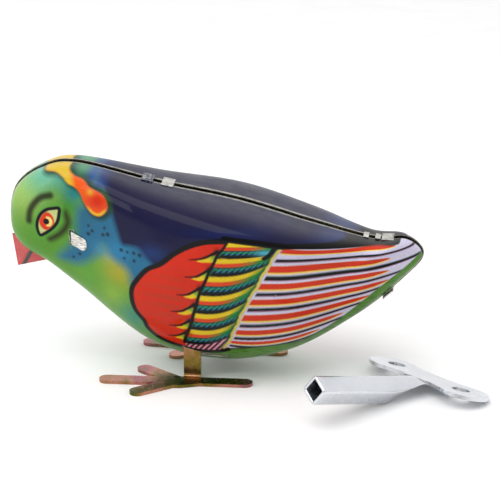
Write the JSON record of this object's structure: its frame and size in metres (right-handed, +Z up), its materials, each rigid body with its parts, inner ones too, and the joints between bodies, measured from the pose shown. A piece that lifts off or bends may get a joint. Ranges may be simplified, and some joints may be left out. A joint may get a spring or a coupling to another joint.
{
  "type": "wind-up tin bird",
  "caption": "Printed tin bird that walks on cranked claw feet when its spring motor is wound with the separate key lying beside it.",
  "frame": {"origin": "centre of the bounding box of bird and key, at floor level", "axes": "the bird looks along -X, its left side faces -Y, +Z is up"},
  "size_m": [0.1588, 0.0772, 0.0697],
  "materials": {
    "printed_tin": "gloss",
    "red_tin": "gloss",
    "bare_tin": "satin",
    "zinc_yellow": "satin",
    "steel": "satin",
    "brass": "satin",
    "bright_zinc": "bright"
  },
  "bodies": {
    "bird": {"left_shell": "printed_tin", "right_shell": "printed_tin", "beak": "red_tin", "nape_lug": "printed_tin", "back_lug": "bare_tin", "rump_lug": "bare_tin", "tail_lug": "bare_tin", "belly_lug": "bare_tin", "frame_left": "steel", "frame_right": "steel", "frame_pillars": "steel", "bracket_left": "steel", "bracket_right": "steel", "mainspring": "steel"},
    "great_wheel_set": {"great_wheel": "brass"},
    "arbor_set": {"winding_arbor": "steel", "ratchet_wheel": "steel"},
    "click_set": {"click": "steel"},
    "second_set": {"second_arbor": "steel", "second_wheel": "brass"},
    "crank_set": {"crank_shaft": "steel", "crank_wheel": "brass", "crank_disc_left": "steel", "crank_disc_right": "steel", "crank_cap_left": "steel", "crank_cap_right": "steel"},
    "governor_set": {"governor_arbor": "steel", "flywheel": "brass"},
    "idler_left_set": {"idler_left": "steel", "idler_cap_left": "steel"},
    "idler_right_set": {"idler_right": "steel", "idler_cap_right": "steel"},
    "left_leg_set": {"left_leg": "zinc_yellow"},
    "right_leg_set": {"right_leg": "zinc_yellow"},
    "key": {"key_socket": "bright_zinc", "key_bow": "bright_zinc"}
  },
  "joints": [
    {"name": "crank_turn", "type": "hinge", "parent": "bird", "child": "crank_set", "pos_m": [-0.01313, 0.01011, 0.02], "axis": [0, 1, 0], "continuous": true},
    {"name": "second_turn", "type": "hinge", "parent": "bird", "child": "second_set", "pos_m": [0.00076, 0.01011, 0.0238], "axis": [0, 1, 0], "continuous": true},
    {"name": "great_wheel_turn", "type": "hinge", "parent": "bird", "child": "great_wheel_set", "pos_m": [0.00087, 0.01011, 0.04], "axis": [0, 1, 0], "continuous": true},
    {"name": "governor_turn", "type": "hinge", "parent": "bird", "child": "governor_set", "pos_m": [-0.02415, 0.01011, 0.02611], "axis": [0, 1, 0], "continuous": true},
    {"name": "idler_left_turn", "type": "hinge", "parent": "bird", "child": "idler_left_set", "pos_m": [-0.01313, 0.01011, 0.034], "axis": [0, 1, 0], "continuous": true},
    {"name": "idler_right_turn", "type": "hinge", "parent": "bird", "child": "idler_right_set", "pos_m": [-0.01313, 0.01011, 0.034], "axis": [0, 1, 0], "continuous": true},
    {"name": "left_leg_level", "type": "hinge", "parent": "crank_set", "child": "left_leg_set", "pos_m": [-0.01713, -0.00149, 0.02], "axis": [0, 1, 0], "continuous": true},
    {"name": "right_leg_level", "type": "hinge", "parent": "crank_set", "child": "right_leg_set", "pos_m": [-0.00913, 0.02171, 0.02], "axis": [0, 1, 0], "continuous": true},
    {"name": "winding_turn", "type": "hinge", "parent": "great_wheel_set", "child": "arbor_set", "pos_m": [0.00087, 0.01011, 0.04], "axis": [0, 1, 0], "continuous": true},
    {"name": "click_lift", "type": "hinge", "parent": "great_wheel_set", "child": "click_set", "pos_m": [-0.00177, 0.01011, 0.04755], "axis": [0, 1, 0], "range_deg": [0, 12], "stiffness_Nm_per_rad": 0.0005, "springref_deg": -5.73},
    {"name": "key_lift", "type": "slide", "parent": "bird", "child": "key", "axis": [0, -0.8, 0.6], "range_m": [0, 0.06]}
  ],
  "couplings": [
    {"joint": "second_turn", "follows": "crank_turn", "ratio": -0.33333},
    {"joint": "great_wheel_turn", "follows": "crank_turn", "ratio": 0.095238},
    {"joint": "governor_turn", "follows": "crank_turn", "ratio": -2.5},
    {"joint": "idler_left_turn", "follows": "crank_turn", "ratio": 1},
    {"joint": "idler_right_turn", "follows": "crank_turn", "ratio": 1},
    {"joint": "left_leg_level", "follows": "crank_turn", "ratio": -1},
    {"joint": "right_leg_level", "follows": "crank_turn", "ratio": -1}
  ]
}
